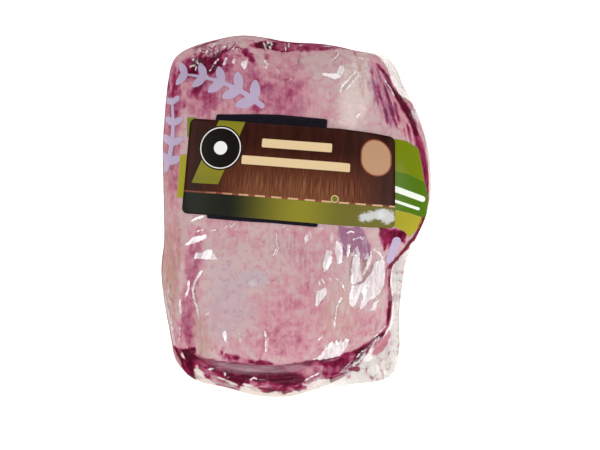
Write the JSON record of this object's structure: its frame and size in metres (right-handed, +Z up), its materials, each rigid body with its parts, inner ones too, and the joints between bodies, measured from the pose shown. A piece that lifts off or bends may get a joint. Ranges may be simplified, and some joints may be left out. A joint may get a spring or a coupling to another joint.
{
  "type": "vacuum-packed raw leg of lamb",
  "caption": "Oblong raw leg of lamb shrunk tight in a clear film bag with free film flaps, a front label over a dark label, lying on its flat side.",
  "frame": {"origin": "middle of the pack's footprint, on the surface it rests on", "axes": "+Z up, out of the labelled side; +Y towards the shank end; +X towards the knuckle"},
  "size_m": [0.1913, 0.2581, 0.0727],
  "materials": {
    "lamb_meat": "wet raw meat and fat under clear film",
    "bag_film": "clear glossy shrunk film with lilac and green print",
    "dark_label": "dark satin label",
    "front_label": "printed glossy label, brown wood grain over an olive band"
  },
  "bodies": {
    "root": {"bagged_leg": "lamb_meat", "dark_label": "dark_label", "front_label": "front_label"}
  },
  "joints": []
}
